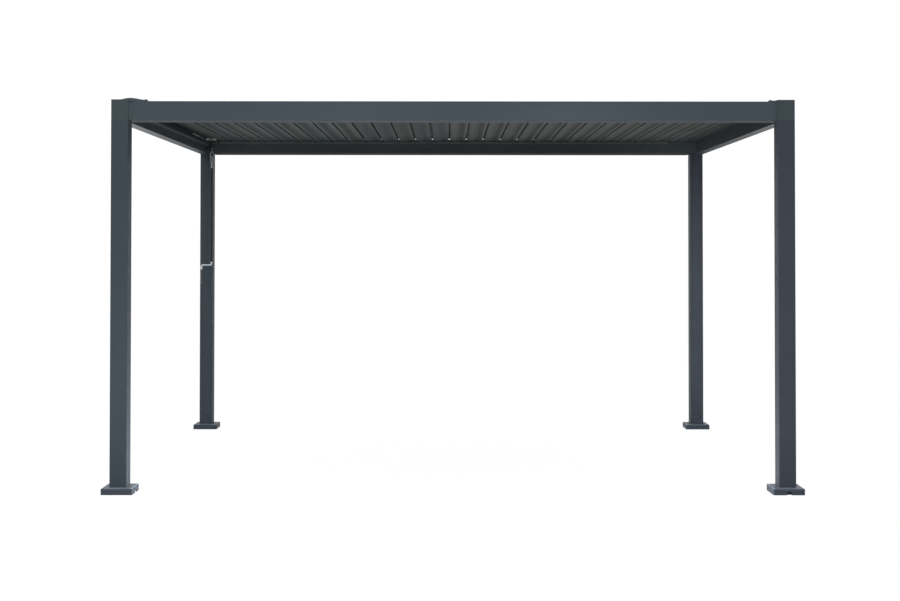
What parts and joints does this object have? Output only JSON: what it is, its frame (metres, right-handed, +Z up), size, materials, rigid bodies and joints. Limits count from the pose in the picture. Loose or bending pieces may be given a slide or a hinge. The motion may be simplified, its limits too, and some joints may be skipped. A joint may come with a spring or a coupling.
{
  "type": "louvred pergola",
  "caption": "Free-standing aluminium pergola: square posts on foot covers, box beams with gutters, and a roof of tilting louvres turned by a hanging hand crank.",
  "frame": {"origin": "on the ground, in the middle of the four posts", "axes": "+X along the width to the right seen from the front, -Y towards the front, +Z up"},
  "size_m": [4.084, 3.084, 2.3089],
  "materials": {
    "post_paint": "anthracite powder coat, fine satin texture",
    "beam_paint": "anthracite powder coat, fine satin texture",
    "gutter_paint": "anthracite powder coat, fine satin texture",
    "cap_paint": "anthracite powder coat, satin",
    "cover_paint": "anthracite powder coat, smooth satin",
    "louvre_paint": "anthracite powder coat, satin, drawn grooves along its length",
    "galvanised_steel": "zinc plated, slightly dull",
    "crank_steel": "zinc plated, bright",
    "gearbox_shell": "dark moulded shell",
    "grip_plastic": "black moulded grip"
  },
  "bodies": {
    "frame": {"post_front_left": "post_paint", "post_front_right": "post_paint", "post_rear_left": "post_paint", "post_rear_right": "post_paint", "foot_cover_front_left": "cover_paint", "foot_cover_front_right": "cover_paint", "foot_cover_rear_left": "cover_paint", "foot_cover_rear_right": "cover_paint", "corner_block_front_left": "post_paint", "corner_block_front_right": "post_paint", "corner_block_rear_left": "post_paint", "corner_block_rear_right": "post_paint", "corner_cap_front_left": "cap_paint", "corner_cap_front_right": "cap_paint", "corner_cap_rear_left": "cap_paint", "corner_cap_rear_right": "cap_paint", "beam_front": "beam_paint", "beam_rear": "beam_paint", "beam_left": "beam_paint", "beam_right": "beam_paint", "gutter_front": "gutter_paint", "gutter_rear": "gutter_paint", "flashing_left": "louvre_paint", "flashing_right": "louvre_paint", "gearbox": "gearbox_shell", "gearbox_bracket": "galvanised_steel"},
    "louvre_01": {"louvre_01": "louvre_paint"},
    "louvre_02": {"louvre_02": "louvre_paint"},
    "louvre_03": {"louvre_03": "louvre_paint"},
    "louvre_04": {"louvre_04": "louvre_paint"},
    "louvre_05": {"louvre_05": "louvre_paint"},
    "louvre_06": {"louvre_06": "louvre_paint"},
    "louvre_07": {"louvre_07": "louvre_paint"},
    "louvre_08": {"louvre_08": "louvre_paint"},
    "louvre_09": {"louvre_09": "louvre_paint"},
    "louvre_10": {"louvre_10": "louvre_paint"},
    "louvre_11": {"louvre_11": "louvre_paint"},
    "louvre_12": {"louvre_12": "louvre_paint"},
    "louvre_13": {"louvre_13": "louvre_paint"},
    "louvre_14": {"louvre_14": "louvre_paint"},
    "louvre_15": {"louvre_15": "louvre_paint"},
    "louvre_16": {"louvre_16": "louvre_paint"},
    "louvre_17": {"louvre_17": "louvre_paint"},
    "louvre_18": {"louvre_18": "louvre_paint"},
    "louvre_19": {"louvre_19": "louvre_paint"},
    "louvre_20": {"louvre_20": "louvre_paint"},
    "louvre_21": {"louvre_21": "louvre_paint"},
    "louvre_22": {"louvre_22": "louvre_paint"},
    "louvre_23": {"louvre_23": "louvre_paint"},
    "louvre_24": {"louvre_24": "louvre_paint"},
    "louvre_25": {"louvre_25": "louvre_paint"},
    "louvre_26": {"louvre_26": "louvre_paint"},
    "louvre_27": {"louvre_27": "louvre_paint"},
    "drive_bar": {"drive_bar": "gutter_paint"},
    "gearbox_lever": {"gearbox_lever": "galvanised_steel"},
    "crank": {"crank_eye": "crank_steel", "crank_handle": "crank_steel"},
    "crank_grip": {"crank_grip": "grip_plastic"}
  },
  "joints": [
    {"name": "crank_turn", "type": "hinge", "parent": "frame", "child": "crank", "pos_m": [-1.884, 1.256, 2.271], "axis": [0, 0, 1], "range_deg": [0, 1800]},
    {"name": "louvre_01_tilt", "type": "hinge", "parent": "frame", "child": "louvre_01", "pos_m": [-1.7105, 0, 2.285], "axis": [0, -1, 0], "range_deg": [0, 90]},
    {"name": "louvre_02_tilt", "type": "hinge", "parent": "frame", "child": "louvre_02", "pos_m": [-1.5785, 0, 2.285], "axis": [0, -1, 0], "range_deg": [0, 90]},
    {"name": "louvre_03_tilt", "type": "hinge", "parent": "frame", "child": "louvre_03", "pos_m": [-1.4465, 0, 2.285], "axis": [0, -1, 0], "range_deg": [0, 90]},
    {"name": "louvre_04_tilt", "type": "hinge", "parent": "frame", "child": "louvre_04", "pos_m": [-1.3145, 0, 2.285], "axis": [0, -1, 0], "range_deg": [0, 90]},
    {"name": "louvre_05_tilt", "type": "hinge", "parent": "frame", "child": "louvre_05", "pos_m": [-1.1825, 0, 2.285], "axis": [0, -1, 0], "range_deg": [0, 90]},
    {"name": "louvre_06_tilt", "type": "hinge", "parent": "frame", "child": "louvre_06", "pos_m": [-1.0505, 0, 2.285], "axis": [0, -1, 0], "range_deg": [0, 90]},
    {"name": "louvre_07_tilt", "type": "hinge", "parent": "frame", "child": "louvre_07", "pos_m": [-0.9185, 0, 2.285], "axis": [0, -1, 0], "range_deg": [0, 90]},
    {"name": "louvre_08_tilt", "type": "hinge", "parent": "frame", "child": "louvre_08", "pos_m": [-0.7865, 0, 2.285], "axis": [0, -1, 0], "range_deg": [0, 90]},
    {"name": "louvre_09_tilt", "type": "hinge", "parent": "frame", "child": "louvre_09", "pos_m": [-0.6545, 0, 2.285], "axis": [0, -1, 0], "range_deg": [0, 90]},
    {"name": "louvre_10_tilt", "type": "hinge", "parent": "frame", "child": "louvre_10", "pos_m": [-0.5225, 0, 2.285], "axis": [0, -1, 0], "range_deg": [0, 90]},
    {"name": "louvre_11_tilt", "type": "hinge", "parent": "frame", "child": "louvre_11", "pos_m": [-0.3905, 0, 2.285], "axis": [0, -1, 0], "range_deg": [0, 90]},
    {"name": "louvre_12_tilt", "type": "hinge", "parent": "frame", "child": "louvre_12", "pos_m": [-0.2585, 0, 2.285], "axis": [0, -1, 0], "range_deg": [0, 90]},
    {"name": "louvre_13_tilt", "type": "hinge", "parent": "frame", "child": "louvre_13", "pos_m": [-0.1265, 0, 2.285], "axis": [0, -1, 0], "range_deg": [0, 90]},
    {"name": "louvre_14_tilt", "type": "hinge", "parent": "frame", "child": "louvre_14", "pos_m": [0.0055, 0, 2.285], "axis": [0, -1, 0], "range_deg": [0, 90]},
    {"name": "louvre_15_tilt", "type": "hinge", "parent": "frame", "child": "louvre_15", "pos_m": [0.1375, 0, 2.285], "axis": [0, -1, 0], "range_deg": [0, 90]},
    {"name": "louvre_16_tilt", "type": "hinge", "parent": "frame", "child": "louvre_16", "pos_m": [0.2695, 0, 2.285], "axis": [0, -1, 0], "range_deg": [0, 90]},
    {"name": "louvre_17_tilt", "type": "hinge", "parent": "frame", "child": "louvre_17", "pos_m": [0.4015, 0, 2.285], "axis": [0, -1, 0], "range_deg": [0, 90]},
    {"name": "louvre_18_tilt", "type": "hinge", "parent": "frame", "child": "louvre_18", "pos_m": [0.5335, 0, 2.285], "axis": [0, -1, 0], "range_deg": [0, 90]},
    {"name": "louvre_19_tilt", "type": "hinge", "parent": "frame", "child": "louvre_19", "pos_m": [0.6655, 0, 2.285], "axis": [0, -1, 0], "range_deg": [0, 90]},
    {"name": "louvre_20_tilt", "type": "hinge", "parent": "frame", "child": "louvre_20", "pos_m": [0.7975, 0, 2.285], "axis": [0, -1, 0], "range_deg": [0, 90]},
    {"name": "louvre_21_tilt", "type": "hinge", "parent": "frame", "child": "louvre_21", "pos_m": [0.9295, 0, 2.285], "axis": [0, -1, 0], "range_deg": [0, 90]},
    {"name": "louvre_22_tilt", "type": "hinge", "parent": "frame", "child": "louvre_22", "pos_m": [1.0615, 0, 2.285], "axis": [0, -1, 0], "range_deg": [0, 90]},
    {"name": "louvre_23_tilt", "type": "hinge", "parent": "frame", "child": "louvre_23", "pos_m": [1.1935, 0, 2.285], "axis": [0, -1, 0], "range_deg": [0, 90]},
    {"name": "louvre_24_tilt", "type": "hinge", "parent": "frame", "child": "louvre_24", "pos_m": [1.3255, 0, 2.285], "axis": [0, -1, 0], "range_deg": [0, 90]},
    {"name": "louvre_25_tilt", "type": "hinge", "parent": "frame", "child": "louvre_25", "pos_m": [1.4575, 0, 2.285], "axis": [0, -1, 0], "range_deg": [0, 90]},
    {"name": "louvre_26_tilt", "type": "hinge", "parent": "frame", "child": "louvre_26", "pos_m": [1.5895, 0, 2.285], "axis": [0, -1, 0], "range_deg": [0, 90]},
    {"name": "louvre_27_tilt", "type": "hinge", "parent": "frame", "child": "louvre_27", "pos_m": [1.7215, 0, 2.285], "axis": [0, -1, 0], "range_deg": [0, 90]},
    {"name": "gearbox_lever_turn", "type": "hinge", "parent": "frame", "child": "gearbox_lever", "pos_m": [-1.8425, 1.2825, 2.271], "axis": [0, -1, 0], "range_deg": [0, 90]},
    {"name": "drive_bar_pin", "type": "hinge", "parent": "louvre_01", "child": "drive_bar", "pos_m": [-1.73171, 1.288, 2.26379], "axis": [0, 1, 0], "range_deg": [0, 90]},
    {"name": "grip_turn", "type": "hinge", "parent": "crank", "child": "crank_grip", "pos_m": [-1.963, 1.256, 1.214], "axis": [0, 0, 1], "continuous": true}
  ],
  "couplings": [
    {"joint": "louvre_01_tilt", "follows": "crank_turn", "ratio": 0.05},
    {"joint": "louvre_02_tilt", "follows": "crank_turn", "ratio": 0.05},
    {"joint": "louvre_03_tilt", "follows": "crank_turn", "ratio": 0.05},
    {"joint": "louvre_04_tilt", "follows": "crank_turn", "ratio": 0.05},
    {"joint": "louvre_05_tilt", "follows": "crank_turn", "ratio": 0.05},
    {"joint": "louvre_06_tilt", "follows": "crank_turn", "ratio": 0.05},
    {"joint": "louvre_07_tilt", "follows": "crank_turn", "ratio": 0.05},
    {"joint": "louvre_08_tilt", "follows": "crank_turn", "ratio": 0.05},
    {"joint": "louvre_09_tilt", "follows": "crank_turn", "ratio": 0.05},
    {"joint": "louvre_10_tilt", "follows": "crank_turn", "ratio": 0.05},
    {"joint": "louvre_11_tilt", "follows": "crank_turn", "ratio": 0.05},
    {"joint": "louvre_12_tilt", "follows": "crank_turn", "ratio": 0.05},
    {"joint": "louvre_13_tilt", "follows": "crank_turn", "ratio": 0.05},
    {"joint": "louvre_14_tilt", "follows": "crank_turn", "ratio": 0.05},
    {"joint": "louvre_15_tilt", "follows": "crank_turn", "ratio": 0.05},
    {"joint": "louvre_16_tilt", "follows": "crank_turn", "ratio": 0.05},
    {"joint": "louvre_17_tilt", "follows": "crank_turn", "ratio": 0.05},
    {"joint": "louvre_18_tilt", "follows": "crank_turn", "ratio": 0.05},
    {"joint": "louvre_19_tilt", "follows": "crank_turn", "ratio": 0.05},
    {"joint": "louvre_20_tilt", "follows": "crank_turn", "ratio": 0.05},
    {"joint": "louvre_21_tilt", "follows": "crank_turn", "ratio": 0.05},
    {"joint": "louvre_22_tilt", "follows": "crank_turn", "ratio": 0.05},
    {"joint": "louvre_23_tilt", "follows": "crank_turn", "ratio": 0.05},
    {"joint": "louvre_24_tilt", "follows": "crank_turn", "ratio": 0.05},
    {"joint": "louvre_25_tilt", "follows": "crank_turn", "ratio": 0.05},
    {"joint": "louvre_26_tilt", "follows": "crank_turn", "ratio": 0.05},
    {"joint": "louvre_27_tilt", "follows": "crank_turn", "ratio": 0.05},
    {"joint": "gearbox_lever_turn", "follows": "crank_turn", "ratio": 0.05},
    {"joint": "drive_bar_pin", "follows": "crank_turn", "ratio": 0.05}
  ]
}
